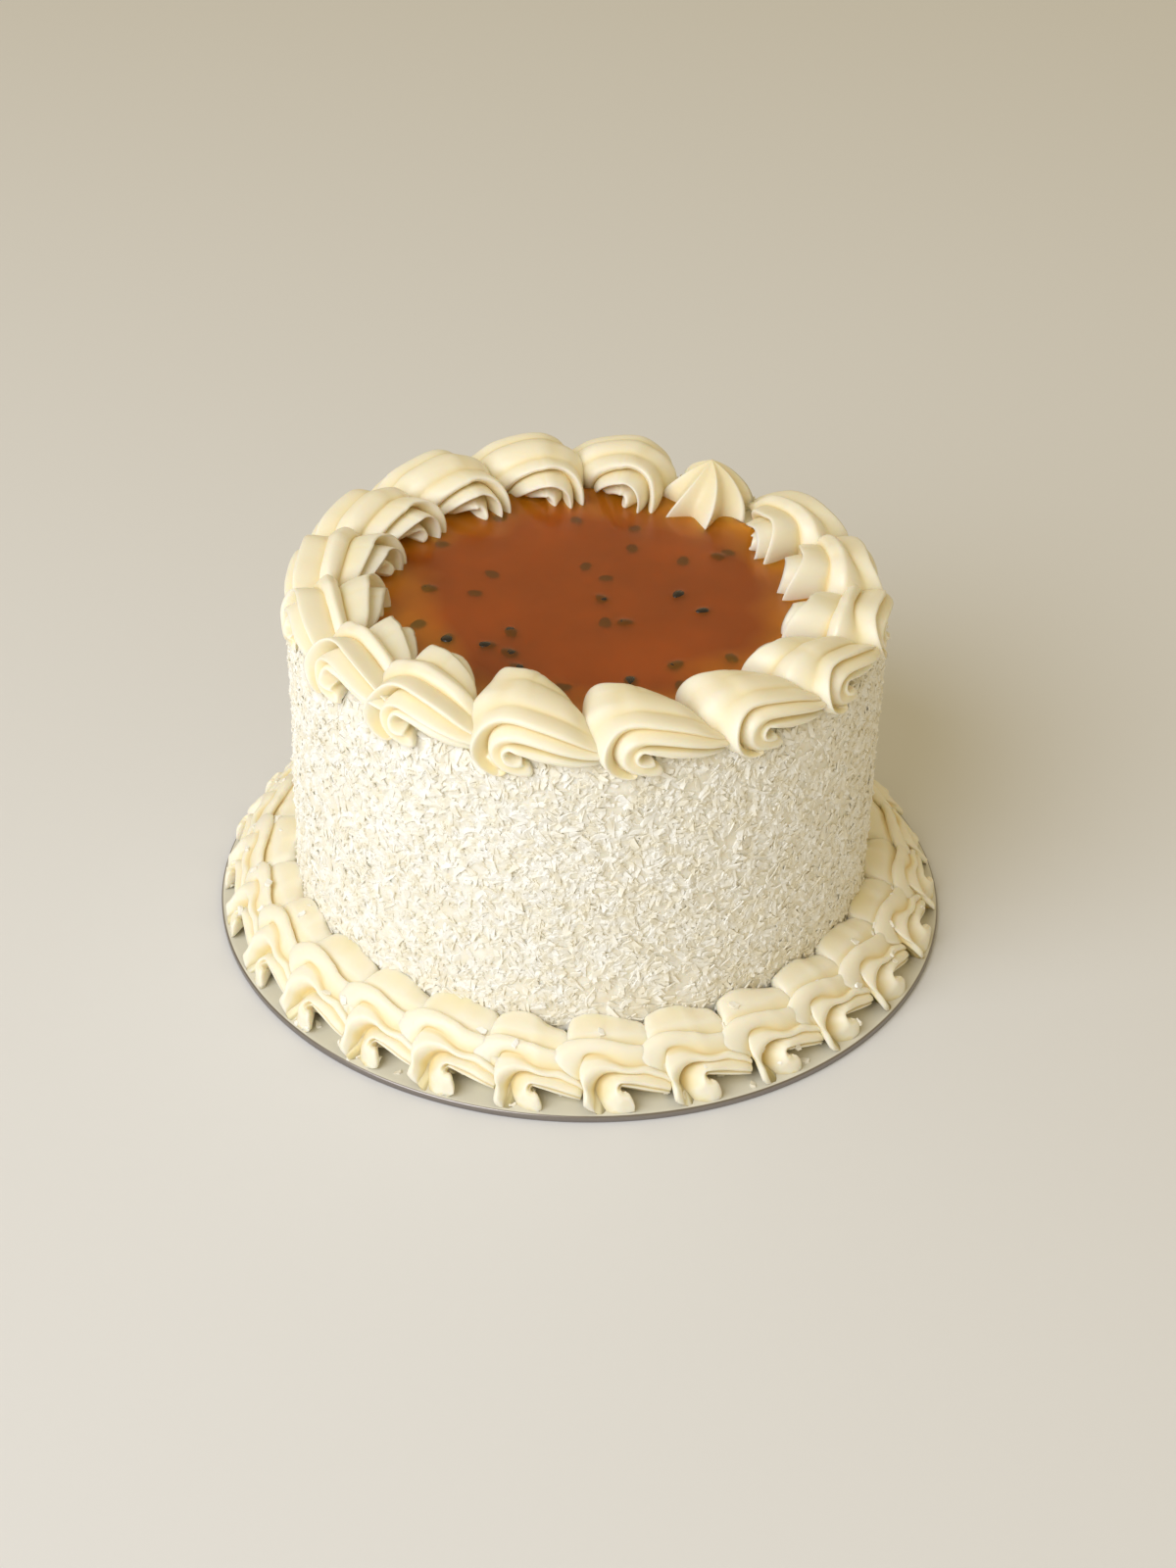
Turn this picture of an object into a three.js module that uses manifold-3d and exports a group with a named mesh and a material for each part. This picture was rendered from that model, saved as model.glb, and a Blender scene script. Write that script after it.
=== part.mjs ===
// Mango passion fruit cake: a tall round cake in a coat of grated coconut, a glazed top with
// seeds, a border of piped shells on the rim, another round the foot, and the thin card below.
// Millimetres, +Z up, origin in the middle of the card's underside. Azimuth 270 degrees is the front.

import * as THREE from 'three';
import Module from 'manifold-3d';

const wasm = await Module();
wasm.setup();

// Driving dimensions.
const gap = 0.3; // between a border and what it lies on
const slack = 0.01; // how far a cut's slivers may be smoothed

const card = { radius: 101.6, thickness: 2, sides: 60, margin: 1 };

const cake = { footRadius: 79, topRadius: 78.3, top: 93.5, edgeRound: 3.5, sides: 52 };

// The coat leaves the cake bare behind the foot border and under the rim border's hooks.
const coat = { from: 23, to: 86, rows: 7, least: 0.1, most: 1.4, seed: 11 };
const flake = {
  count: 30, length: 7.5, width: 2.4, thickness: 1.5, margin: 5, stand: 1.1, lift: 0.2, variety: 0.3,
};

const glaze = { radius: 57, top: 95.3, sides: 36, edgeRise: 0.5, edgeWidth: 7 };
const seed = { length: 4.4, width: 2.9, proud: 0.7, waist: 0.3, sunk: 0.8, sides: 6 };
// Where the seeds show: the distance from the middle, and degrees round the cake.
const seedSpots = [
  [4, 336], [17, 306], [24, 3], [28, 226], [31, 347], [36, 237], [37, 227], [41, 245], [41, 304],
  [42, 178], [43, 214], [42, 33], [44, 285], [48, 321],
];

// A shell is a fluted rope folded over a crease. Its own frame runs along the ring from the back
// of its head, outward from the middle of the border, and up from what it lies on. Each row is one
// section of it, from the foot of the head to the end of the tail: the turn in degrees round the
// crease, the steps along and up, how wide the inner and the outer side are, and then how far the
// section reaches from its inner side to its outer foot, one number for each angle of the style.
// Angles of a section are 0 at its crown, and grow to the outer side. A ridge is the angle at which
// a valley starts, the reach of the ridge that follows it, and the valley's depth at the foot and at
// the tail. Ends are the turns at which the rope's foot ends, at each angle of the section.
const rope = {
  footTurn: 297,
  core: 0.6,
  hump: 2.4,
  tail: [130, 60],
  fold: [65, 100],
  foldSides: [128, 168],
  foldThin: 0.9,
  flareTurns: [115, 195],
  flareAngle: 48,
  flareSpread: 24,
};

// The outer side of a rim shell's head hangs over the wall: from which turns and angles on, how far
// it stays from the wall, how low it may come, and how the rest of the shell rounds the edge.
const overhang = {
  turns: [100, 130], angles: [22, 40], clear: 0.7, lowest: 87, edge: 0.3, slope: 5, deepest: 6,
};

const rimStyle = {
  rows: [
    [297, 0, 0, 1.04, 0.9, 0.9, 0.9, 0.65, 1.15],
    [245, 0, 0, 1.12, 1.04, 1.03, 1.02, 0.77, 1.0],
    [190, 0, 0, 1.1, 1.03, 1.06, 1.04, 0.82, 0.83],
    [140, 0, 0, 1.02, 1.0, 1.0, 1.0, 0.94, 0.87],
    [97, 0.8, -0.4, 1.0, 1.0, 0.99, 1.0, 1.02, 1.0],
    [80, 6.5, -2.6, 0.93, 1.0, 0.9, 0.92, 1.01, 1.03],
    [66, 20, -3.6, 0.65, 0.85, 0.35, 0.4, 0.62, 0.68],
  ],
  reachAngles: [-50, 0, 50, 95],
  ridges: [
    [-180, 1.15, 0, 0], [-116, 1.08, 0.3, 0.2], [-74, 1.05, 0.36, 0.24], [-33, 1.05, 0.24, 0.2],
    [30, 1.05, 0.16, 0.22], [73, 1.08, 0.4, 0.24], [125, 1.25, 0.05, 0.3], [180, 1.25, 0, 0],
  ],
  ends: [
    [-180, 230], [-94, 222], [-50, 205], [0, 200], [45, 230], [74, 258], [98, 296], [125, 312], [180, 312],
  ],
  around: [-142, -116, -94, -74, -53, -33, -1, 30, 51, 73, 98, 128],
  squeeze: 1,
  teeth: 14,
  flare: 4,
};

const footStyle = {
  rows: [
    [297, 0, 0, 1.03, 0.9, 1.12, 1.12, 2.0, 2.1, 1.7],
    [240, 0, 0, 1.04, 1.0, 1.14, 1.18, 1.6, 2.5, 1.45],
    [185, 0, 0, 1.0, 1.0, 1.09, 1.11, 1.25, 2.5, 1.65],
    [132, 0, 0, 1.0, 1.0, 1.03, 1.03, 1.05, 1.5, 1.25],
    [91, 1.2, -0.3, 1.0, 1.0, 0.99, 0.99, 0.96, 0.94, 1.1],
    [77, 10, -2.6, 0.8, 0.9, 0.6, 0.62, 0.7, 0.78, 0.9],
  ],
  reachAngles: [-50, 0, 56, 87, 108],
  ridges: [
    [-180, 1.0, 0, 0], [-74, 1.0, 0.1, 0.1], [-30, 1.0, 0.12, 0.14], [38, 1.06, 0.36, 0.34],
    [74, 1.08, 0.42, 0.34], [98, 1.15, 0.9, 0.35], [134, 1.2, 0.1, 0.3], [180, 1.2, 0, 0],
  ],
  ends: [
    [-180, 230], [-94, 160], [-50, 135], [0, 133], [30, 138], [56, 148], [72, 165], [80, 200],
    [87, 218], [96, 235], [106, 290], [125, 306], [180, 306],
  ],
  around: [-135, -52, 4, 38, 56, 74, 86, 98, 120],
  squeeze: 2,
  teeth: 10,
  flare: 0,
};

const rimShell = {
  style: rimStyle,
  floor: cake.top,
  creaseAlong: 13.4,
  creaseUp: 3.2,
  headBack: 13.4,
  innerSpread: 1.25,
  outerSpread: 1.16,
};

const footShell = {
  style: footStyle,
  ringRadius: 89,
  floor: card.thickness,
  pivot: 8,
  creaseAlong: 11.5,
  creaseUp: 0.8,
  headBack: 11.5,
  headUp: 19.2,
  innerWidth: 7,
  outerWidth: 5.6,
  roll: 40,
};

// The rim shells in the order of piping: where the head begins in degrees round the cake, how high
// it stands, and the radius that its inner and its outer feet reach.
const rimRow = [
  [69, 14.2, 47.5, 79.5], [92, 14, 47.5, 79.5], [116, 14, 48, 80], [140, 12.8, 49.5, 80],
  [163, 13.2, 50.5, 80], [185, 13.8, 51.5, 81], [206, 14, 52, 81.5], [225, 14, 52, 82],
  [247, 14.5, 52, 82], [270, 12.8, 54.5, 82], [293.5, 12.2, 55, 81.5], [314.5, 12.2, 54.5, 81.5],
  [336, 12.4, 53, 80.5], [359, 12.3, 50.5, 79], [381, 12, 49.5, 78.5],
];
const footStart = 257;
const footCount = 27;

// How much one shell may differ from the next: shares of its size, then degrees and millimetres.
const variety = { size: 0.045, roll: 4, creaseUp: 0.5, azimuth: 0.5 };

const closingStar = {
  azimuth: 58, ringRadius: 62, radius: 14.5, height: 15, lobes: 7, valley: 0.68, lean: 1.5, twist: 26,
};
const starLevels = [[0, 1], [0.22, 1.0], [0.45, 0.88], [0.68, 0.64], [0.88, 0.32]];

const creamColour = 0xf4ead0;
const coconutColour = 0xf1ece0;
const glazeColour = 0x8f4716;
const cardColour = 0xd9d5bf;

const radians = THREE.MathUtils.degToRad;
const goldenAngle = Math.PI * (3 - Math.sqrt(5));

// A number from -1 to 1 that is the same each time for an item and what is asked of it.
function wobble(item, channel) {
  const hash = Math.sin(item * 12.9898 + channel * 78.233) * 43758.5453;
  return 2 * (hash - Math.floor(hash)) - 1;
}

function solidFrom(points, faces) {
  const cross = new THREE.Vector3();
  const volume = faces.reduce((sum, [a, b, c]) => (
    sum + points[a].dot(cross.crossVectors(points[b], points[c]))), 0);
  const triVerts = Uint32Array.from(faces.flatMap(([a, b, c]) => (volume > 0 ? [a, b, c] : [a, c, b])));
  const vertProperties = Float32Array.from(points.flatMap((point) => point.toArray()));
  return new wasm.Manifold(new wasm.Mesh({ numProp: 3, vertProperties, triVerts }));
}

// A closed body through loops of equally many points, its ends shut by fans to two tips.
function loftSolid(loops, startTip, endTip) {
  const count = loops[0].length;
  const points = [...loops.flat(), startTip, endTip];
  const faces = [];
  loops.slice(1).forEach((_, row) => {
    for (let i = 0; i < count; i += 1) {
      const a = row * count + i;
      const b = row * count + (i + 1) % count;
      const c = b + count;
      const d = a + count;
      if (points[a].distanceTo(points[c]) < points[b].distanceTo(points[d])) {
        faces.push([a, b, c], [a, c, d]);
      } else {
        faces.push([a, b, d], [b, c, d]);
      }
    }
  });
  const lastRow = (loops.length - 1) * count;
  for (let i = 0; i < count; i += 1) {
    const next = (i + 1) % count;
    faces.push([points.length - 2, next, i], [points.length - 1, lastRow + i, lastRow + next]);
  }
  return solidFrom(points, faces);
}

function centreOf(loop) {
  const sum = loop.reduce((total, point) => total.add(point), new THREE.Vector3());
  return sum.divideScalar(loop.length);
}

// The largest body that a cut leaves, without the scraps.
function largestOf(solid) {
  const whole = solid.decompose().reduce((best, body) => (body.volume() > best.volume() ? body : best));
  return whole.simplify(slack);
}

function onRing(radius, azimuth, z) {
  return new THREE.Vector3(radius * Math.cos(azimuth), radius * Math.sin(azimuth), z);
}

function ringLoop(sides, radius, z) {
  return Array.from({ length: sides }, (_, i) => onRing(radius, (i / sides) * Math.PI * 2, z));
}

// A body of revolution about +Z from [radius, z] pairs, flat at its top and bottom.
function revolved(profile, sides) {
  const loops = profile.map(([radius, z]) => ringLoop(sides, radius, z));
  return loftSolid(loops, centreOf(loops[0]), centreOf(loops[loops.length - 1]));
}

// The value at a place between rows of [place, value].
function between(rows, place) {
  const next = Math.max(1, rows.findIndex(([start]) => start > place));
  const [[low, first], [high, second]] = [rows[next - 1], rows[next]];
  return THREE.MathUtils.mapLinear(place, low, high, first, second);
}

// A ridge of the section at an angle: how far it reaches, less the valley, and how near its crest.
function ridgeAt(style, degrees, tail) {
  const next = style.ridges.findIndex(([start]) => start > degrees);
  const [[low, reach, ...lowDepths], [high, , ...highDepths]] = [style.ridges[next - 1], style.ridges[next]];
  const share = (degrees - low) / (high - low);
  const depths = share < 0.5 ? lowDepths : highDepths;
  const across = Math.abs(2 * share - 1);
  const drop = THREE.MathUtils.lerp(...depths, tail) * (0.5 - 0.5 * Math.cos(Math.PI * across));
  return { reach: reach - drop, hump: 1 - across ** rope.hump };
}

// The reach of a section at an angle, blended softly from one of the style's angles to the next.
function blended(angles, values, degrees) {
  return values.reduce((sum, value, i) => {
    if (i === 0) {
      return value;
    }
    return THREE.MathUtils.lerp(sum, value, THREE.MathUtils.smoothstep(degrees, angles[i - 1], angles[i]));
  }, 0);
}

// One loop of the rope, through the points round a row's section.
function ropeLoop(shell, row) {
  const { style } = shell;
  const [turn, along, up, wideIn, wideOut, ...reaches] = row;
  const tail = 1 - THREE.MathUtils.smoothstep(turn, rope.tail[1], rope.tail[0]);
  const head = Math.max(0, (turn - 90) / (rope.footTurn - 90));
  return style.around.map((degrees) => {
    const angle = radians(degrees);
    const { reach, hump } = ridgeAt(style, degrees, tail);
    const footEnd = between(style.ends, degrees) + style.teeth * hump;
    const here = radians(turn > 90 ? THREE.MathUtils.lerp(90, footEnd, head) : turn);
    const outer = blended(style.reachAngles, reaches, degrees)
      * Math.hypot(shell.headBack * Math.cos(here), shell.headUp * Math.sin(here));
    const share = Math.max(0, (1 + reach * Math.cos(angle)) / 2) ** style.squeeze;
    const distance = Math.max(rope.core / 2, rope.core + (outer - rope.core) * share);
    const width = degrees < 0 ? shell.innerWidth * wideIn : shell.outerWidth * wideOut;
    const inFold = Math.abs(degrees) > 90 ? THREE.MathUtils.smoothstep(turn, ...rope.fold) : 0;
    const sides = 1 - rope.foldThin * THREE.MathUtils.smoothstep(Math.abs(degrees), ...rope.foldSides);
    const full = THREE.MathUtils.lerp(Math.abs(Math.sin(angle)), sides, inFold);
    const foot = THREE.MathUtils.smoothstep(here, ...rope.flareTurns.map(radians));
    const away = (Math.abs(degrees) - rope.flareAngle) / rope.flareSpread;
    const flare = style.flare * foot * Math.exp(-(away ** 2));
    const side = Math.sign(degrees) * (width * reach * full + flare);
    return placeOnRing(
      shell,
      shell.creaseAlong + along + distance * Math.cos(here),
      side,
      shell.creaseUp + up + distance * Math.sin(here),
      THREE.MathUtils.smoothstep(turn, ...overhang.turns)
        * THREE.MathUtils.smoothstep(degrees, ...overhang.angles),
    );
  });
}

// Rolls a point of the rope about the border's run, then bends it round the cake. What hangs over
// the rim stays out of the wall, and the rest stays on what the shell lies on.
function placeOnRing(shell, along, side, up, hanging) {
  const roll = radians(shell.roll);
  const out = side * Math.cos(roll) - (up - shell.pivot) * Math.sin(roll);
  const height = shell.floor + shell.pivot + side * Math.sin(roll) + (up - shell.pivot) * Math.cos(roll);
  const azimuth = radians(shell.azimuth) + along / shell.ringRadius;
  return shell.settle(shell.ringRadius + out, azimuth, height, hanging);
}

function settleOnRim(radius, azimuth, height, hanging) {
  const away = Math.max(radius, (cake.topRadius + overhang.clear) * hanging);
  const past = (away - cake.topRadius - overhang.edge) * overhang.slope;
  const floor = cake.top - gap - THREE.MathUtils.clamp(past, 0, overhang.deepest);
  return onRing(away, azimuth, Math.max(height, THREE.MathUtils.lerp(floor, overhang.lowest, hanging)));
}

function settleOnCard(radius, azimuth, height) {
  const farthest = card.radius - card.margin;
  return onRing(THREE.MathUtils.clamp(radius, cake.footRadius + gap, farthest), azimuth, height);
}

function ropeSolid(shell) {
  const loops = shell.style.rows.map((row) => ropeLoop(shell, row));
  return loftSolid(loops, centreOf(loops[0]), centreOf(loops[loops.length - 1]));
}

function rimShellAt([azimuth, height, innerFoot, outerFoot], index) {
  const ringRadius = THREE.MathUtils.lerp(innerFoot, outerFoot, 0.55);
  const creaseUp = rimShell.creaseUp + variety.creaseUp * wobble(index, 2);
  const headUp = height - creaseUp;
  return {
    ...rimShell,
    settle: settleOnRim,
    azimuth,
    ringRadius,
    creaseUp,
    headUp,
    pivot: headUp / 2,
    innerWidth: (ringRadius - innerFoot) / rimShell.innerSpread,
    outerWidth: (outerFoot - ringRadius) / rimShell.outerSpread,
    roll: variety.roll * wobble(index, 4),
  };
}

function footShellAt(index) {
  const azimuth = footStart + (360 / footCount) * index + variety.azimuth * wobble(index, 5);
  const size = 1 + variety.size * wobble(index, 1);
  return {
    ...footShell,
    settle: settleOnCard,
    azimuth,
    headBack: footShell.headBack * size,
    headUp: footShell.headUp * size,
    innerWidth: footShell.innerWidth * size,
    outerWidth: footShell.outerWidth * size,
    creaseUp: footShell.creaseUp + variety.creaseUp * wobble(index, 2),
    roll: footShell.roll + variety.roll * wobble(index, 4),
  };
}

// Each shell's head lies on the tail of the one before it, which is cut back to make room.
function pipedBorder(shells, floorRoom, closing) {
  return shells.map((shell, index) => {
    const isLast = index === shells.length - 1;
    const next = shells[(index + 1) % shells.length];
    let solid = ropeSolid(shell).subtract(floorRoom);
    if (closing && (isLast || index === 0)) {
      solid = solid.subtract(closing);
    }
    if (!closing || !isLast) {
      solid = solid.subtract(ropeSolid(next));
    }
    return largestOf(solid);
  });
}

// The dollop that ends the rim border, with a pulled peak.
function starSolid(grow) {
  const star = closingStar;
  const azimuth = radians(star.azimuth);
  const middle = onRing(star.ringRadius, azimuth, cake.top);
  const loops = starLevels.map(([level, share]) => (
    Array.from({ length: star.lobes * 2 }, (_, i) => {
      const reach = star.radius * share * (i % 2 ? star.valley : 1) + grow;
      const angle = azimuth + (i / (star.lobes * 2)) * Math.PI * 2 + radians(star.twist * level);
      const spot = onRing(reach, angle, star.height * level + grow * level);
      return spot.add(middle).add(onRing(star.lean * level ** 2, azimuth, 0));
    })));
  const tip = middle.clone().add(onRing(star.lean * 1.2, azimuth, star.height + grow));
  return loftSolid(loops, centreOf(loops[0]), tip);
}

// The coat of coconut is an uneven skin between two bare bands.
function cakeSolid() {
  const loops = [ringLoop(cake.sides, cake.footRadius, card.thickness + gap)];
  for (let row = 0; row <= coat.rows; row += 1) {
    const z = THREE.MathUtils.lerp(coat.from, coat.to, row / coat.rows);
    const base = THREE.MathUtils.mapLinear(z, 0, cake.top, cake.footRadius, cake.topRadius);
    const isEnd = row === 0 || row === coat.rows;
    loops.push(ringLoop(cake.sides, base, z).map((point, i) => {
      const share = Math.abs(wobble(i + 97 * row, coat.seed));
      const depth = isEnd ? 0 : THREE.MathUtils.lerp(coat.least, coat.most, share);
      return point.setLength(Math.hypot(base + depth, z)).setZ(z);
    }));
  }
  for (const degrees of [35, 90]) {
    const angle = radians(degrees);
    const radius = cake.topRadius - cake.edgeRound * (1 - Math.cos(angle));
    loops.push(ringLoop(cake.sides, radius, cake.top - cake.edgeRound * (1 - Math.sin(angle))));
  }
  return loftSolid(loops, centreOf(loops[0]), centreOf(loops[loops.length - 1]));
}

// Shreds of coconut that stand out of the coat, spread by the golden angle up the wall.
function flakeSolid(index) {
  const share = (index + 0.5) / flake.count;
  const z = THREE.MathUtils.lerp(coat.from + flake.margin, coat.to - flake.margin, share);
  const frame = new THREE.Object3D();
  frame.rotation.set(0, 0, index * goldenAngle, 'ZYX');
  frame.position.copy(onRing(cake.topRadius + flake.stand, index * goldenAngle, z));
  const tilt = new THREE.Object3D();
  tilt.rotation.set(wobble(index, 21) * Math.PI, 0, flake.lift * wobble(index, 22));
  frame.add(tilt);
  frame.updateMatrixWorld(true);
  const length = flake.length * (1 + flake.variety * wobble(index, 23));
  const corners = [[-0.4, -0.3], [0.4, -0.5], [0.35, 0.5], [-0.45, 0.2]];
  const waist = corners.map(([across, along]) => (
    new THREE.Vector3(0, across * flake.width, along * length).applyMatrix4(tilt.matrixWorld)));
  const inner = new THREE.Vector3(-flake.thickness, 0, 0).applyMatrix4(tilt.matrixWorld);
  const outer = new THREE.Vector3(flake.thickness / 2, 0, 0).applyMatrix4(tilt.matrixWorld);
  return loftSolid([waist], inner, outer);
}

// A seed that shows above the glaze, as a low bump.
function seedSolid(index) {
  const [radius, degrees] = seedSpots[index];
  const azimuth = radians(degrees);
  const heading = wobble(index, 31) * Math.PI;
  const middle = onRing(radius, azimuth, glaze.top);
  const loop = Array.from({ length: seed.sides }, (_, i) => {
    const angle = (i / seed.sides) * Math.PI * 2;
    const spot = onRing(1, angle, -seed.waist);
    spot.multiply(new THREE.Vector3(seed.length / 2, seed.width / 2, 1));
    return spot.applyAxisAngle(new THREE.Vector3(0, 0, 1), heading).add(middle);
  });
  const bottom = middle.clone().setZ(glaze.top - seed.sunk);
  return loftSolid([loop], bottom, middle.clone().setZ(glaze.top + seed.proud));
}

// The glaze is poured inside the rim border, climbs its feet a little and fills its gaps.
function glazeSolid(borderShells) {
  const bottom = cake.top + gap;
  let solid = revolved([
    [glaze.radius, bottom],
    [glaze.radius, glaze.top + glaze.edgeRise],
    [glaze.radius - glaze.edgeWidth, glaze.top],
  ], glaze.sides);
  for (let i = 0; i < seedSpots.length; i += 1) {
    solid = solid.add(seedSolid(i));
  }
  borderShells.forEach((shell) => {
    solid = solid.subtract(ropeSolid(shell));
  });
  return largestOf(solid.subtract(starSolid(gap)));
}

const group = new THREE.Group();

function addPiece(name, solid, color, roughness) {
  const { vertProperties, triVerts } = solid.getMesh();
  const geometry = new THREE.BufferGeometry();
  geometry.setAttribute('position', new THREE.BufferAttribute(vertProperties, 3));
  geometry.setIndex(new THREE.BufferAttribute(triVerts, 1));
  geometry.computeVertexNormals();
  const mesh = new THREE.Mesh(geometry, new THREE.MeshStandardMaterial({ color, roughness, metalness: 0 }));
  mesh.name = name;
  group.add(mesh);
}

function addBorder(name, solids) {
  solids.forEach((solid, i) => {
    addPiece(`${name}_${String(i + 1).padStart(2, '0')}`, solid, creamColour, 0.5);
  });
}

const rimShells = rimRow.map(rimShellAt);
const footShells = Array.from({ length: footCount }, (_, i) => footShellAt(i));

// What the borders keep clear of: the cake's top with its edge left square, and the card.
const cakeRoom = revolved([
  [cake.topRadius + 2 * gap, cake.top - 15],
  [cake.topRadius + 2 * gap, cake.top + gap],
], 40);
const cardRoom = revolved([
  [card.radius * 1.2, -20],
  [card.radius * 1.2, card.thickness + gap],
], 12);

let coatedCake = cakeSolid();
for (let i = 0; i < flake.count; i += 1) {
  coatedCake = coatedCake.add(flakeSolid(i));
}

const cardProfile = [[card.radius, 0], [card.radius, card.thickness]];

addPiece('cake_card', revolved(cardProfile, card.sides), cardColour, 0.6);
addPiece('cake_body', coatedCake, coconutColour, 0.8);
addPiece('mango_glaze', glazeSolid(rimShells), glazeColour, 0.15);
addBorder('rim_shell', pipedBorder(rimShells, cakeRoom, starSolid(gap)));
addPiece('closing_star', starSolid(0).subtract(cakeRoom), creamColour, 0.5);
addBorder('foot_shell', pipedBorder(footShells, cardRoom, null));

export default group;
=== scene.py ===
# Mango passion fruit cake: the looks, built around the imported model.
import math

import bmesh
import bpy
import numpy as np
from mathutils import Matrix, Vector


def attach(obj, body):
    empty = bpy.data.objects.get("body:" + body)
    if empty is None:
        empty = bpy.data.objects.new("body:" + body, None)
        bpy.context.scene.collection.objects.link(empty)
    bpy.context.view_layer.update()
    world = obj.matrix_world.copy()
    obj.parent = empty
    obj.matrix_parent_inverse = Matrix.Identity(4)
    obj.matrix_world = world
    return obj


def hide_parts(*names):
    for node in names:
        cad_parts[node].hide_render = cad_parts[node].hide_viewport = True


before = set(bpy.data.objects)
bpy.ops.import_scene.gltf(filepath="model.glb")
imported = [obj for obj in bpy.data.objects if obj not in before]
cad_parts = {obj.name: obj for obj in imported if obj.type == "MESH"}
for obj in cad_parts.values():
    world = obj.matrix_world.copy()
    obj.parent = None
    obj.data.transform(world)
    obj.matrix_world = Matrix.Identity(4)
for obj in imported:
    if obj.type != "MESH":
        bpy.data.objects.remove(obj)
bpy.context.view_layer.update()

mm = 0.001  # sizes are given in millimetres and meshes made in metres


def wobble(item, channel):
    # A fixed number from -1 to 1 for each item and channel, the same in every run.
    value = math.sin(item * 12.9898 + channel * 78.233) * 43758.5453
    return 2 * (value - math.floor(value)) - 1


def smooth(value, low, high):
    # From 0 at the low end to 1 at the high end, level at both.
    share = np.clip((value - low) / (high - low), 0, 1)
    return share * share * (3 - 2 * share)


def through(rows, places):
    # A smooth curve through rows of numbers, read at places from 0 to 1.
    rows = np.asarray(rows, float)
    at = np.asarray(places, float) * (len(rows) - 1)
    low = np.clip(np.floor(at).astype(int), 0, len(rows) - 2)
    t = (at - low)[:, None]
    slopes = np.gradient(rows, axis=0)
    curve = (2 * t**3 - 3 * t**2 + 1) * rows[low] + (t**3 - 2 * t**2 + t) * slopes[low]
    curve = curve + (3 * t**2 - 2 * t**3) * rows[low + 1]
    return curve + (t**3 - t**2) * slopes[low + 1]


def newMaterial(name, look):
    # The look holds values for the shader's own inputs, each under the input's name.
    material = bpy.data.materials.new(name)
    material.use_nodes = True
    shader = material.node_tree.nodes["Principled BSDF"]
    for label, value in look.items():
        shader.inputs[label].default_value = (*value, 1) if label == "Base Color" else value
    return material, shader


def addNode(material, kind, **values):
    node = material.node_tree.nodes.new(kind)
    for name, value in values.items():
        if hasattr(node, name):
            setattr(node, name, value)
        else:
            node.inputs[name.replace("_", " ")].default_value = value
    return node


def tie(material, source, target):
    material.node_tree.links.new(source, target)


def ramp(material, source, stops):
    node = addNode(material, "ShaderNodeValToRGB")
    elements = node.color_ramp.elements
    while len(elements) < len(stops):
        elements.new(0.5)
    for element, (place, colour) in zip(elements, stops):
        element.position = place
        element.color = (*colour, 1)
    tie(material, source, node.inputs["Fac"])
    return node.outputs["Color"]


def noise(material, scale, detail):
    place = addNode(material, "ShaderNodeTexCoord")
    node = addNode(material, "ShaderNodeTexNoise", Scale=scale, Detail=detail)
    tie(material, place.outputs["Object"], node.inputs["Vector"])
    return node.outputs["Fac"]


def radiusShare(material, low, high, patches=None, uneven=0):
    # How far out from the cake's axis a point lies: 0 at the low distance and 1 at the high one. Patches make
    # the distance uneven, by so many millimetres either way.
    place = addNode(material, "ShaderNodeTexCoord")
    flat = addNode(material, "ShaderNodeVectorMath", operation="MULTIPLY")
    flat.inputs[1].default_value = (1, 1, 0)
    tie(material, place.outputs["Object"], flat.inputs[0])
    length = addNode(material, "ShaderNodeVectorMath", operation="LENGTH")
    tie(material, flat.outputs[0], length.inputs[0])
    reach = length.outputs["Value"]
    if patches:
        blur = addNode(material, "ShaderNodeMath", operation="MULTIPLY_ADD")
        blur.inputs[1].default_value = 2 * uneven * mm
        tie(material, patches, blur.inputs[0])
        tie(material, reach, blur.inputs[2])
        reach = blur.outputs[0]
    low, high = (low + uneven) * mm, (high + uneven) * mm
    share = addNode(material, "ShaderNodeMapRange", From_Min=low, From_Max=high)
    tie(material, reach, share.inputs["Value"])
    return share.outputs[0]


def roughen(material, shader, scale, detail, strength, depth):
    bump = addNode(material, "ShaderNodeBump", Strength=strength, Distance=depth)
    tie(material, noise(material, scale, detail), bump.inputs["Height"])
    tie(material, bump.outputs["Normal"], shader.inputs["Normal"])


def mottledFinish(name, style):
    # Tints in patches over a fine grain. Patches are a noise's scale and detail. For a grain the strength of
    # its bumps and their depth in metres follow.
    material, shader = newMaterial(name, style["look"])
    tint = ramp(material, noise(material, *style["patches"]), style["tints"])
    tie(material, tint, shader.inputs["Base Color"])
    roughen(material, shader, *style["grain"])
    return material


def addPiece(piece, node, material):
    # The piece rides the one body and, where a node is named, takes its place.
    if not piece.data.materials:
        piece.data.materials.append(material)
    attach(piece, "root")
    if node:
        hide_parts(node)


def plainMesh(name, points, faces):
    # A smooth piece at the origin, with every face turned outwards.
    mesh = bpy.data.meshes.new(name)
    mesh.from_pydata(points, [], faces)
    piece = bpy.data.objects.new(name, mesh)
    bpy.context.scene.collection.objects.link(piece)
    bm = bmesh.new()
    bm.from_mesh(mesh)
    bmesh.ops.recalc_face_normals(bm, faces=bm.faces)
    bm.to_mesh(mesh)
    bm.free()
    mesh.polygons.foreach_set("use_smooth", [True] * len(mesh.polygons))
    return piece


hollowReach = 10  # how many times a skin is averaged with its neighbours to find its hollows


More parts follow.
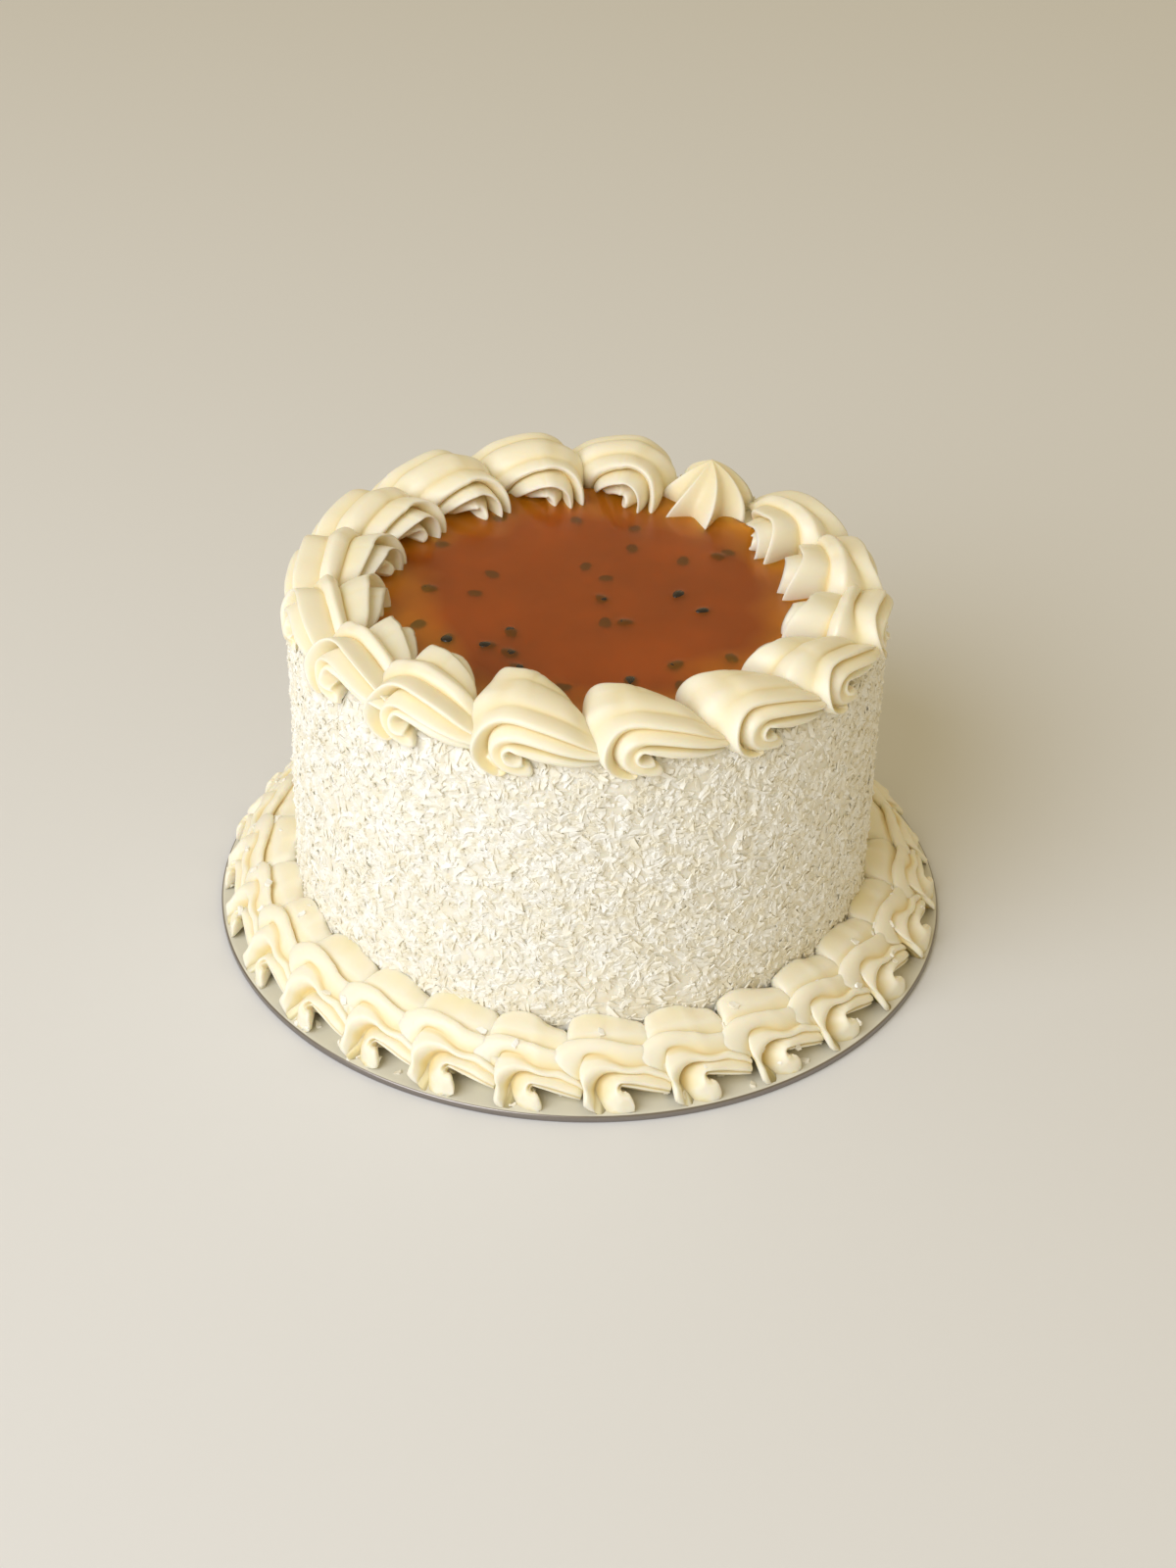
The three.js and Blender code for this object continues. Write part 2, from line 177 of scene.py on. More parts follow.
def hollows(mesh, grid):
    # How deep each point lies between its neighbours, in millimetres: plus in a valley, minus on a ridge.
    n, u, _ = grid.shape
    normals = np.empty(len(mesh.vertices) * 3)
    mesh.vertices.foreach_get("normal", normals)
    normals = normals.reshape(-1, 3)[: n * u].reshape(n, u, 3)
    soft = grid.copy()
    for _ in range(hollowReach):
        soft = (soft + (np.roll(soft, 1, 1) + np.roll(soft, -1, 1)) / 2) / 2
        soft[1:-1] = soft[1:-1] * 0.6 + (soft[:-2] + soft[2:]) * 0.2
    depth = ((soft - grid) * normals).sum(2)
    # The cream reads this to paint shade into its valleys.
    attribute = mesh.attributes.new("hollow", "FLOAT", "POINT")
    attribute.data.foreach_set("value", np.concatenate([depth.ravel(), [0, 0]]))


def gridMesh(name, radius, azimuth, z):
    # A closed skin of n rings of u points, each at its distance from the cake's axis, its angle and its
    # height. The first and the last ring close in a point.
    n, u = radius.shape
    grid = np.stack([radius * np.cos(azimuth), radius * np.sin(azimuth), z], -1)
    points = grid.reshape(-1, 3) * mm
    ends = np.stack([points[:u].mean(0), points[-u:].mean(0)])
    points = np.concatenate([points, ends])
    ring = np.arange(n - 1)[:, None] * u
    here = np.arange(u)
    after = (here + 1) % u
    quads = np.stack([ring + here, ring + after, ring + u + after, ring + u + here], -1)
    start = np.stack([np.full(u, n * u), after, here], -1)
    end = np.stack([np.full(u, n * u + 1), (n - 1) * u + here, (n - 1) * u + after], -1)
    faces = quads.reshape(-1, 4).tolist() + start.tolist() + end.tolist()
    piece = plainMesh(name, points.tolist(), faces)
    hollows(piece.data, grid)
    return piece


# A piped shell is a ridged rope that turns over a crease: up and back into a round head, then forward into a
# tail. Round its section, 0 degrees is the top of the rope, minus is towards the cake's axis and plus away.
shellSet = {
    "around": 128,  # points round a section
    "along": 72,  # sections from the foot of the head to the end of the tail
    "evened": 3,  # how many times the keys are averaged with their neighbours
    "uneven": 0.014,  # how much each ridge swells and thins, as a share of its reach
    "core": 0.6,  # how near the rope's inner side comes to the crease
    # The stage of each key, from 0 to 4: the foot, the back, the top, the shoulder and the tail's end.
    "stages": [0, 0.3, 0.6, 1, 1.3, 1.7, 2, 2.5, 3, 3.3, 3.6, 3.8, 4],
    "crispBend": 2.6, "bladeBend": 1.2, "humpBend": 2.4,  # how late a crisp ridge, a blade and a hump fall
    "sides": (-8, 8),  # the degrees between which the inner width passes into the outer one
    "fillTurn": (65, 100), "fillDegrees": (128, 168), "filled": 0.9,  # where the head's sides stay full
    "footTurn": (115, 195), "wings": 48, "wingWidth": 24,  # where the head's foot flares out to both sides
    "hangTurn": (100, 130), "hangDegrees": (22, 40),  # where a shell can hang over the rim
}
shellPlaces = np.linspace(0, 1, shellSet["along"])
shellDegrees = np.linspace(-180, 180, shellSet["around"], endpoint=False) + 180 / shellSet["around"]


def alongShell(values):
    return np.interp(shellPlaces, np.linspace(0, 1, len(values)), values)


def staged(table):
    # Each row of the table along the shell: five numbers, one for a stage, or one number for all of them.
    stage = alongShell(shellSet["stages"])
    return np.stack([np.interp(stage, range(5), np.broadcast_to(row, 5)) for row in table], 1)


def ridgedSection(shell, style, crispLow, crispHigh):
    # The reach of each point, as a share, and how near it is to the top of its own ridge.
    edges = np.array([valley[0] for valley in style["valleys"]], float)
    slot = np.clip(np.searchsorted(edges, shellDegrees, side="right") - 1, 0, len(edges) - 2)
    t = (shellDegrees - edges[slot]) / (edges[slot + 1] - edges[slot])
    across = np.abs(2 * t - 1)
    crisp = np.where(t < 0.5, crispLow[:, None], crispHigh[:, None])
    bend = across ** shellSet["crispBend"] * crisp + (0.5 - 0.5 * np.cos(math.pi * across)) * (1 - crisp)
    bend = bend + (across ** shellSet["bladeBend"] - bend) * shell["blade"]
    depth = staged([valley[1:] for valley in style["valleys"]])
    drop = np.where(t < 0.5, depth[:, slot], depth[:, slot + 1]) * bend
    # Two waves run along the rope, out of step from ridge to ridge.
    section = np.arange(shellSet["along"])[:, None]
    slow, quick = 0.13 * section, 0.31 * section
    beat = np.sin(slow + 3 * np.sin(np.radians(shellDegrees)) + shell["phase"])
    beat = beat + 0.6 * np.sin(quick - np.radians(2 * shellDegrees) + 2 * shell["phase"])
    reach = staged(style["ridges"])[:, slot] - drop + shellSet["uneven"] * beat
    return reach, 1 - across ** shellSet["humpBend"]


def turnsOfShell(style, turn, hump, inner):
    # Each ridge of the head runs on to its own end, and on the inner side the tail curls.
    ends = np.interp(shellDegrees, *zip(*style["ends"])) + style["teeth"] * hump
    head = np.clip((turn - 90) / (style["keys"][0][0] - 90), 0, 1)[:, None]
    curl = alongShell(style["curl"])[:, None] * inner
    return np.radians(np.where(turn[:, None] > 90, 90 + head * (ends - 90), turn[:, None] - curl))


def reachOfShell(style, reachAtAnchors):
    # The reach that the keys give at each anchor, blended from one anchor to the next.
    anchors = style["anchors"]
    steps = [np.ones(shellSet["around"])]
    steps += [smooth(shellDegrees, low, high) for low, high in zip(anchors[:-1], anchors[1:])]
    steps += [np.zeros(shellSet["around"])]
    return reachAtAnchors @ np.stack([near - far for near, far in zip(steps[:-1], steps[1:])])


def sideOfShell(shell, style, turn, turnHere, wideIn, wideOut, reach):
    # How far each point lies to the side of the rope's middle.
    outside = smooth(shellDegrees, *shellSet["sides"])
    width = shell["innerWidth"] * wideIn[:, None] * (1 - outside)
    width = width + shell["outerWidth"] * wideOut[:, None] * outside
    # Near the crease the sides of the head stay full, which leaves only a narrow hollow.
    sine = np.sin(np.radians(shellDegrees))
    fromTop = np.abs(shellDegrees)
    filled = smooth(turn, *shellSet["fillTurn"])[:, None] * (fromTop > 90)
    hollow = 1 - shellSet["filled"] * smooth(fromTop, *shellSet["fillDegrees"])
    full = np.abs(sine) * (1 - filled) + hollow * filled
    nearFoot = smooth(turnHere, *np.radians(shellSet["footTurn"]))
    outer = np.exp(-(((shellDegrees - shellSet["wings"]) / shellSet["wingWidth"]) ** 2))
    inner = np.exp(-(((shellDegrees + shellSet["wings"]) / shellSet["wingWidth"]) ** 2))
    return width * reach * np.sign(sine) * full + style["flare"] * nearFoot * (outer - inner)


def ropeShell(shell, style):
    # Where the points lie along the ring, to its side and up, and how much each one hangs over the rim.
    rows = through(style["keys"], shellPlaces)
    for _ in range(shellSet["evened"]):
        rows[1:-1] = (rows[:-2] + 2 * rows[1:-1] + rows[2:]) / 4
    turn, along, up, wideIn, wideOut, crispLow, crispHigh = rows[:, :7].T
    reach, hump = ridgedSection(shell, style, crispLow, crispHigh)
    inner = 1 - smooth(shellDegrees, *style["inner"])
    turnHere = turnsOfShell(style, turn, hump, inner)
    size = np.hypot(shell["headBack"] * np.cos(turnHere), shell["headUp"] * np.sin(turnHere))
    outer = reachOfShell(style, rows[:, 7:]) * size
    share = np.clip((1 + reach * np.cos(np.radians(shellDegrees))) / 2, 0, 2) ** style["squeeze"]
    distance = np.maximum(shellSet["core"] / 2, shellSet["core"] + (outer - shellSet["core"]) * share)
    side = sideOfShell(shell, style, turn, turnHere, wideIn, wideOut, reach)
    x = shell["creaseAlong"] + along[:, None] * (1 - style["hold"] * inner) + distance * np.cos(turnHere)
    z = shell["creaseUp"] + up[:, None] + distance * np.sin(turnHere)
    hanging = smooth(turn, *shellSet["hangTurn"])[:, None] * smooth(shellDegrees, *shellSet["hangDegrees"])
    return x, side, z, hanging


def onRing(shell, x, side, z):
    # The shell is rolled about its own length, then bent round the ring that it stands on.
    roll = math.radians(shell["roll"])
    out = side * math.cos(roll) - (z - shell["pivot"]) * math.sin(roll)
    high = shell["pivot"] + side * math.sin(roll) + (z - shell["pivot"]) * math.cos(roll)
    azimuth = math.radians(shell["azimuth"]) + x / shell["ringRadius"]
    radius = shell["ringRadius"] + out + shell["slant"] * np.maximum(0, x - shell["creaseAlong"])
    return radius, azimuth, shell["floor"] + high


# In both styles a key holds the turn, the steps along and up, the inner and outer width, the sharpness of the
# valleys before and after a ridge, and the reach at each anchor, an angle round the section. A valley holds
# its angle and its depth at the five stages, and a ridge its height there, or one height for all.
rimStyle = {
    "keys": [
        (300, 0, 0, 1.0, 0.84, 0.4, 0, 0.95, 0.85, 0.60, 1.05),
        (293, 0, 0, 1.08, 0.98, 0.4, 0, 1.05, 0.95, 0.70, 1.24),
        (250, 0, 0, 1.12, 1.04, 0.4, 0, 1.12, 1.02, 0.76, 1.02),
        (215, 0, 0, 1.12, 1.04, 0.4, 0, 1.14, 1.04, 0.80, 0.86),
        (180, 0, 0, 1.08, 1.02, 0.4, 0, 1.14, 1.03, 0.84, 0.80),
        (140, 0, 0, 1.02, 1.0, 0.5, 0.2, 1.04, 0.96, 0.94, 0.88),
        (110, 0, 0, 1.0, 1.0, 0.6, 0.5, 1.0, 0.99, 1.0, 0.96),
        (92, 1.5, -0.3, 0.98, 1.0, 0.7, 0.8, 0.98, 1.0, 1.02, 1.02),
        (82, 5, -1.2, 0.91, 1.0, 0.7, 0.8, 0.93, 0.98, 1.0, 1.03),
        (75, 8.4, -2.1, 0.78, 1.0, 0.6, 0.8, 0.83, 0.9, 0.94, 0.98),
        (70, 12, -3.0, 0.52, 0.94, 0.6, 0.8, 0.6, 0.68, 0.78, 0.88),
        (67, 15, -3.2, 0.34, 0.84, 0.6, 0.8, 0.4, 0.44, 0.58, 0.72),
        (65, 17.5, -3.3, 0.24, 0.7, 0.6, 0.8, 0.26, 0.3, 0.4, 0.5),
    ],
    "anchors": (-50, 0, 50, 95),
    "squeeze": 1,  # more of it keeps more of the section close to the crease
    "valleys": [
        (-180, 0, 0, 0, 0, 0),
        (-108, 0.34, 0.36, 0.4, 0.36, 0.3),
        (-66, 0.4, 0.42, 0.42, 0.36, 0.3),
        (-24, 0.26, 0.3, 0.3, 0.26, 0.2),
        (30, 0.04, 0.06, 0.16, 0.22, 0.14),
        (73, 0.4, 0.4, 0.3, 0.22, 0.1),
        (125, 0, 0, 0.1, 0.35, 0.2),
        (180, 0, 0, 0, 0, 0),
    ],
    "ridges": [1.15, 1.08, 1.05, 1.04, 1.05, (1.08, 1.08, 1.08, 1.1, 1.1), (1.15, 1.15, 1.2, 1.5, 1.5)],
    "ends": [  # the angle round the section, and the turn at which the head ends there
        (-180, 230), (-130, 228), (-94, 222), (-50, 205), (0, 200), (25, 214), (45, 230), (60, 240),
        (74, 258), (86, 278), (98, 296), (125, 312), (180, 312),
    ],
    "teeth": 14,  # how much further each ridge runs than the valleys beside it
    "flare": 4.0,  # how far the foot of the head spreads out to the sides
    "curl": [0, 0, 0, 0, 0, 0, 0, 3, 14, 30, 50, 68, 80],  # how much further the inner side turns
    "inner": (-60, 15),  # the degrees between which the inner side ends
    "hold": 0.6,  # how much the inner side is held back along the tail
}
footStyle = {
    "keys": [
        (300, 0, 0, 1.0, 0.8, 0.8, 0, 1.1, 1.1, 2.0, 1.9, 1.5),
        (293, 0, 0, 1.05, 1.0, 0.8, 0, 1.14, 1.14, 2.05, 2.2, 1.9),
        (250, 0, 0, 1.05, 1.03, 0.8, 0, 1.14, 1.2, 1.68, 2.3, 1.4),
        (215, 0, 0, 1.0, 1.05, 0.8, 0, 1.12, 1.12, 1.4, 2.6, 1.6),
        (180, 0, 0, 1.0, 1.04, 0.8, 0, 1.1, 1.03, 1.18, 1.9, 1.7),
        (140, 0, 0, 1.0, 1.0, 0.8, 0.1, 1.0, 0.93, 0.98, 1.15, 1.2),
        (110, 0, 0, 1.0, 1.0, 0.9, 0.4, 0.96, 0.88, 0.9, 0.84, 0.95),
        (94, 0.8, -0.2, 0.98, 1.0, 1, 0.6, 0.92, 0.85, 0.86, 0.74, 1.0),
        (86, 2.5, -0.6, 0.94, 0.97, 1, 0.6, 0.9, 0.82, 0.84, 0.76, 1.1),
        (82, 5, -1.3, 0.88, 0.93, 1, 0.6, 0.87, 0.83, 0.86, 0.92, 1.2),
        (80, 7.2, -1.9, 0.8, 0.9, 1, 0.6, 0.77, 0.72, 0.78, 0.86, 1.1),
        (78, 9.2, -2.4, 0.7, 0.84, 1, 0.6, 0.62, 0.58, 0.66, 0.78, 1.0),
        (76, 10.8, -2.8, 0.55, 0.7, 1, 0.6, 0.45, 0.42, 0.5, 0.62, 0.8),
    ],
    "anchors": (-50, 0, 56, 87, 108),
    "squeeze": 2,
    "valleys": [
        (-180, 0, 0, 0, 0, 0),
        (-116, 0, 0, 0, 0, 0),
        (-74, 0.1, 0.1, 0.1, 0.1, 0.1),
        (-30, 0.1, 0.12, 0.15, 0.18, 0.1),
        (38, 0.3, 0.3, 0.3, 0.3, 0.2),
        (74, 0.34, 0.34, 0.3, 0.26, 0.2),
        (98, 1.0, 1.0, 0.8, 0.3, 0.2),
        (134, 0, 0, 0.3, 0.3, 0.2),
        (180, 0, 0, 0, 0, 0),
    ],
    "ridges": [1.0, 1.0, 1.0, 1.0, 1.05, 1.05, 1.1, (1.15, 1.15, 1.2, 1.3, 1.3)],
    "ends": [
        (-180, 230), (-130, 200), (-94, 160), (-50, 135), (0, 133), (30, 138), (56, 148), (72, 165),
        (80, 200), (87, 218), (96, 235), (106, 290), (125, 306), (180, 306),
    ],
    "teeth": 10,
    "flare": 0,
    "curl": [0, 0],
    "inner": (-60, 15),
    "hold": 0,
}
shellVariety = {"size": 0.045, "creaseUp": 0.5, "roll": 4, "azimuth": 0.5, "blade": 0.25, "phase": 3}
footSizes = {
    "count": 27, "start": 257, "ringRadius": 89, "floor": 2, "pivot": 8, "roll": 40, "slant": 0,
    "creaseUp": 0.8, "creaseAlong": 11.5, "blade": 0.25,
    "headBack": 11.5, "headUp": 19.2, "innerWidth": 8.6, "outerWidth": 5.6,
    "wall": 79.1, "cardEdge": 100.6, "lowest": 1.9,  # a shell stays between these
    "pressed": 0.85, "pressFrom": 0.3, "pressTo": 0.62,  # how much of the gap to the wall closes, and where
}


def footShell(index):
    shell = dict(footSizes)
    size = 1 + shellVariety["size"] * wobble(index, 1)
    for name in ("headBack", "headUp", "innerWidth", "outerWidth"):
        shell[name] *= size
    shell["azimuth"] = shell["start"] + 360 / shell["count"] * index
    for name, channel in (("creaseUp", 2), ("roll", 4), ("azimuth", 5), ("blade", 53)):
        shell[name] += shellVariety[name] * wobble(index, channel)
    shell["phase"] = shellVariety["phase"] * wobble(index, 51)
    x, side, z, _ = ropeShell(shell, footStyle)
    radius, azimuth, high = onRing(shell, x, side, z)
    # Towards the cake the side is pressed flat against the wall.
    gap = radius - shell["wall"]
    nearWall = (shell["ringRadius"] - radius) / (shell["ringRadius"] - shell["wall"])
    radius = radius - shell["pressed"] * gap * smooth(nearWall, shell["pressFrom"], shell["pressTo"])
    radius = np.clip(radius, shell["wall"], shell["cardEdge"])
    high = np.maximum(high, shell["lowest"])
    return gridMesh("foot_shell_%02d_cream" % (index + 1), radius, azimuth, high)


rimRow = [
    # azimuth, height, inner foot, outer foot, depth of the top's valleys, sharpness of the ridges, depth of
    # all valleys
    (69, 14.2, 47.5, 79.5, 0.6, 0.3, 1.2),
    (92, 14, 47.5, 79.5, 0.6, 0.3, 1.2),
    (116, 14, 48, 80, 0.7, 0.3, 1.2),
    (140, 12.8, 49.5, 80, 0.9, 0.5, 1.4),
    (163, 13.2, 50.5, 80, 1.1, 0.8, 1.8),
    (185, 13.8, 51.5, 81, 1.4, 1, 2.1),
    (206, 14, 52, 81.5, 1.4, 1, 2.1),
    (225, 14, 52, 82, 1, 0.9, 1.7),
    (247, 14.5, 52, 82, 0.3, 0.15, 1.05),
    (270, 12.8, 54.5, 82, 0.15, 0.1, 1),
    (293.5, 12.2, 55, 81.5, 0.2, 0.1, 1.05),
    (314.5, 12.2, 54.5, 81.5, 1.1, 0.6, 1.3),
    (336, 12.4, 53, 80.5, 1.5, 0.9, 1.6),
    (359, 12.3, 50.5, 79, 1.3, 1, 1.6),
    (381, 12, 49.5, 78.5, 1.2, 0.8, 1.5),
]
rimSizes = {
    "floor": 93.5, "creaseAlong": 13.4, "creaseUp": 3.2, "headBack": 13.4, "slant": 0.1,
    "ringShare": 0.55,  # where the ring of creases lies between the inner and the outer foot
    "reach": 1.04, "innerSpread": 1.2, "outerSpread": 1.12,  # how much wider the style makes a foot
    "valleyShift": 5, "valleyVariety": 0.15, "outerFan": 1.5,
    # What hangs over keeps outside the wall, which leans in above the top, and keeps above the lowest height.
    # The rest lies on the top and on its edge, which falls away.
    "wall": 79.0, "lean": 4, "leanHeight": 3, "lowest": 87,
    "top": 93.3, "edge": 78.6, "edgeSlope": 5, "edgeDrop": 6,
}


def rimValleys(index):
    # The style's valleys with this shell's own depth, on the top, at -24 and 30 degrees, and all over.
    fan, _, deep = rimRow[index][4:]
    topValleys = {-24: fan, 30: max(1, rimSizes["outerFan"] * fan)}
    valleys = []
    for k, (angle, *depths) in enumerate(rimStyle["valleys"]):
        shift = rimSizes["valleyShift"] * wobble(index, 6 + k) if -120 < angle < 80 else 0
        top = topValleys.get(angle, 1)
        varied = 1 + rimSizes["valleyVariety"] * wobble(index, 16 + k)
        valleys.append((angle + shift, *[depth * deep * top * varied for depth in depths]))
    return valleys


def rimShell(index):
    azimuth, height, innerFoot, outerFoot, _, blade, _ = rimRow[index]
    shell = dict(rimSizes, azimuth=azimuth, blade=blade)
    shell["creaseUp"] += shellVariety["creaseUp"] * wobble(index, 2)
    shell["headUp"] = height - shell["creaseUp"]
    shell["pivot"] = shell["headUp"] / 2
    shell["roll"] = shellVariety["roll"] * wobble(index, 4)
    shell["phase"] = shellVariety["phase"] * wobble(index, 51)
    ring = innerFoot + shell["ringShare"] * (outerFoot - innerFoot)
    shell["ringRadius"] = ring
    shell["innerWidth"] = (ring - innerFoot) / shell["reach"] / shell["innerSpread"]
    shell["outerWidth"] = (outerFoot - ring) / shell["reach"] / shell["outerSpread"]
    x, side, z, hanging = ropeShell(shell, dict(rimStyle, valleys=rimValleys(index)))
    radius, azimuth, high = onRing(shell, x, side, z)
    wall = shell["wall"] - np.clip(high - shell["top"], 0, shell["leanHeight"]) * shell["lean"]
    radius = np.maximum(radius, wall * hanging)
    floor = shell["top"] - np.clip((radius - shell["edge"]) * shell["edgeSlope"], 0, shell["edgeDrop"])
    high = np.maximum(high, floor * (1 - hanging) + shell["lowest"] * hanging)
    return gridMesh("rim_shell_%02d_cream" % (index + 1), radius, azimuth, high)


cream = {
    "look": {
        "Base Color": (0.91, 0.81, 0.54), "Roughness": 0.38, "Specular IOR Level": 0.45,
        "Subsurface Weight": 0.35, "Subsurface Radius": (1.0, 0.72, 0.4), "Subsurface Scale": 0.003,
    },
    # The tints of a ridge, of the middle and of a valley, and the hollows that have the first and the last.
    # The tints are painted shade: darker and golden in the valleys, paler on the ridges.
    "tints": [(0, (0.94, 0.875, 0.71)), (0.3, (0.91, 0.81, 0.54)), (1, (0.86, 0.69, 0.34))],
    "highest": -0.2, "deepest": 0.75,
    "patches": (90, 2), "patchDepth": 0.12, "grain": (1400, 4, 0.35, 0.00008),
}


def creamFinish():
    # Pale on its ridges and golden and darker in its hollows, which is painted shade and bounced light, with
    # the fine pits of beaten butter.
    material, shader = newMaterial("buttercream", cream["look"])
    # The hollow measure paints the shade: the deeper a point lies, the darker and more golden it is.
    hollow = addNode(material, "ShaderNodeAttribute", attribute_name="hollow")
    spread = addNode(material, "ShaderNodeMath", operation="MULTIPLY_ADD")
    spread.inputs[1].default_value = cream["patchDepth"]
    tie(material, noise(material, *cream["patches"]), spread.inputs[0])
    tie(material, hollow.outputs["Fac"], spread.inputs[2])
    share = addNode(material, "ShaderNodeMapRange", From_Min=cream["highest"], From_Max=cream["deepest"])
    tie(material, spread.outputs[0], share.inputs["Value"])
    tie(material, ramp(material, share.outputs[0], cream["tints"]), shader.inputs["Base Color"])
    roughen(material, shader, *cream["grain"])
    return material


creamMaterial = creamFinish()
for index in range(len(rimRow)):
    addPiece(rimShell(index), "rim_shell_%02d" % (index + 1), creamMaterial)
footPieces = [footShell(index) for index in range(footSizes["count"])]
for index, piece in enumerate(footPieces):
    addPiece(piece, "foot_shell_%02d" % (index + 1), creamMaterial)
print("piped borders")

closingStar = {
    "azimuth": 58, "ringRadius": 62, "floor": 93.5, "radius": 13.6, "height": 15, "lobes": 7, "twist": 26,
    "lean": 1.5, "uneven": 0.07, "around": 168, "rows": 60,
    "crest": 0.85, "valley": 0.4, "fade": 0.4,  # how sharp the crests, how deep the valleys, less at the tip
    "flare": 0.14, "flareFrom": 0.3, "flareHeight": 0.08,  # how the crests spread at the foot
    "levels": [(0, 1.02), (0.2, 1.02), (0.4, 0.92), (0.6, 0.72), (0.78, 0.48), (0.92, 0.22), (1, 0.03)],
}


def starMesh():
    star = closingStar
    rows = through(star["levels"], np.linspace(0, 1, star["rows"]))
    level, share = rows[:, 0:1], rows[:, 1:2]
    turn = np.linspace(0, 2 * math.pi, star["around"], endpoint=False)[None, :]
    # Sharp crests between broad round hollows.
    lobe = 1 - np.abs(np.sin(turn * star["lobes"] / 2)) ** star["crest"]
    reach = star["radius"] * share * (1 - star["valley"] * (1 - lobe) * (1 - star["fade"] * level))
    flare = star["flare"] * (lobe - star["flareFrom"]) * np.exp(-level / star["flareHeight"])
    reach = reach * (1 + flare + star["uneven"] * np.sin(2 * turn + 1))
    facing = math.radians(star["azimuth"])
    angle = facing + turn + np.radians(star["twist"] * level)
    centre = star["ringRadius"] + star["lean"] * level**2
    x = reach * np.cos(angle) + centre * math.cos(facing)
    y = reach * np.sin(angle) + centre * math.sin(facing)
    high = star["floor"] + star["height"] * level + 0 * x
    return gridMesh("closing_star_cream", np.hypot(x, y), np.arctan2(y, x), high)


addPiece(starMesh(), "closing_star", creamMaterial)
print("closing star")

card = {
    "radius": 101.6, "thickness": 2, "round": 0.4, "sides": 240,
    "foil": 0.5, "blend": 0.2,  # how far the edge's foil comes in over the top, and how softly it ends
    "look": {"Base Color": (0.72, 0.7, 0.6), "Roughness": 0.3},
    "edge": (0.3, 0.27, 0.25), "metallic": 0.85, "grain": (700, 3, 0.12, 0.0001),
}


def cardMesh():
    # A disc with rounded edges, from the middle of its underside to the middle of its top.
    r, t, e = card["radius"], card["thickness"], card["round"]
    sides = card["sides"]
    profile = [(r - 2, 0), (r - e, 0), (r - 0.3 * e, 0.3 * e), (r, e), (r, t / 2), (r, t - e),
               (r - 0.3 * e, t - 0.3 * e), (r - e, t), (r - 1.2, t), (r - 3, t), (r - 20, t)]
    angles = np.arange(sides) * 2 * math.pi / sides
    points = []
    for radius, z in profile:
        points += [(radius * mm * math.cos(a), radius * mm * math.sin(a), z * mm) for a in angles]
    under, over = len(points), len(points) + 1
    points += [(0, 0, 0), (0, 0, t * mm)]
    last = (len(profile) - 1) * sides
    faces = []
    for row in range(0, last, sides):
        for i in range(sides):
            j = (i + 1) % sides
            faces.append((row + i, row + j, row + sides + j, row + sides + i))
    for i in range(sides):
        j = (i + 1) % sides
        faces.append((under, j, i))
        faces.append((over, last + i, last + j))
    return plainMesh("cake_card_board", points, faces)


def cardFinish():
    # Pale laminate above, a dark silver foil round the edge, told apart by the distance from the axis.
    material, shader = newMaterial("card", card["look"])
    foilFrom = card["radius"] - card["foil"]
    edge = radiusShare(material, foilFrom, foilFrom + card["blend"])
    tint = ramp(material, edge, [(0, card["look"]["Base Color"]), (1, card["edge"])])
    tie(material, tint, shader.inputs["Base Color"])
    metal = addNode(material, "ShaderNodeMath", operation="MULTIPLY")
    metal.inputs[1].default_value = card["metallic"]
    tie(material, edge, metal.inputs[0])
    tie(material, metal.outputs[0], shader.inputs["Metallic"])
    roughen(material, shader, *card["grain"])
    return material


cardPiece = cardMesh()
addPiece(cardPiece, "cake_card", cardFinish())

cake = {
    "footRadius": 79, "topRadius": 78.3, "top": 93.5, "edgeRound": 3.5, "bottom": 2.3, "endRadius": 40.0,
    "coatFrom": 2.6, "coatTo": 93.2, "coatFade": 8, "depth": 0.9, "around": 420, "rows": 96,
    "look": {
        "Base Color": (0.9, 0.85, 0.72), "Roughness": 0.6,
        "Subsurface Weight": 0.3, "Subsurface Radius": (1.0, 0.8, 0.6), "Subsurface Scale": 0.003,
    },
    "patches": (260, 3), "tints": [(0.3, (0.89, 0.82, 0.65)), (0.7, (0.95, 0.92, 0.83))],
    "grain": (900, 4, 0.5, 0.0003),
}


def cakeMesh():
    # The wall with its coat, slightly uneven like cream put on with a knife.
    u = cake["around"]
    z = np.linspace(cake["bottom"], cake["top"] - cake["edgeRound"], cake["rows"])
    angle = np.arange(u) * 2 * math.pi / u
    base = np.interp(z, [0, cake["top"]], [cake["footRadius"], cake["topRadius"]])
    a, h = angle[None, :], z[:, None]
    swell = 0.5 + 0.5 * np.sin(3 * a + h * 0.07) * np.sin(5 * a - h * 0.11 + 1)
    grain = 0.5 + 0.5 * np.sin(41 * a + 1.7 * np.sin(h * 0.4)) * np.sin(h * 0.71 + 2 * np.sin(9 * a))
    band = smooth(z, cake["coatFrom"], cake["coatFrom"] + cake["coatFade"])
    band = band * (1 - smooth(z, cake["coatTo"] - cake["coatFade"], cake["coatTo"]))
    radius = base[:, None] + cake["depth"] * band[:, None] * (0.6 * swell + 0.4 * grain)
    rows = [(np.full(u, cake["endRadius"]), cake["bottom"])]
    rows += [(radius[i], z[i]) for i in range(len(z))]
    for degrees in (20, 40, 60, 75, 90):
        turn = math.radians(degrees)
        edge = cake["topRadius"] - cake["edgeRound"] * (1 - math.cos(turn))
        rows.append((np.full(u, edge), cake["top"] - cake["edgeRound"] * (1 - math.sin(turn))))
    rows.append((np.full(u, cake["endRadius"]), cake["top"]))
    grid = np.stack([row for row, _ in rows])
    high = np.stack([np.full(u, height) for _, height in rows])
    return gridMesh("cake_coat", grid, np.repeat(a, len(rows), 0), high)


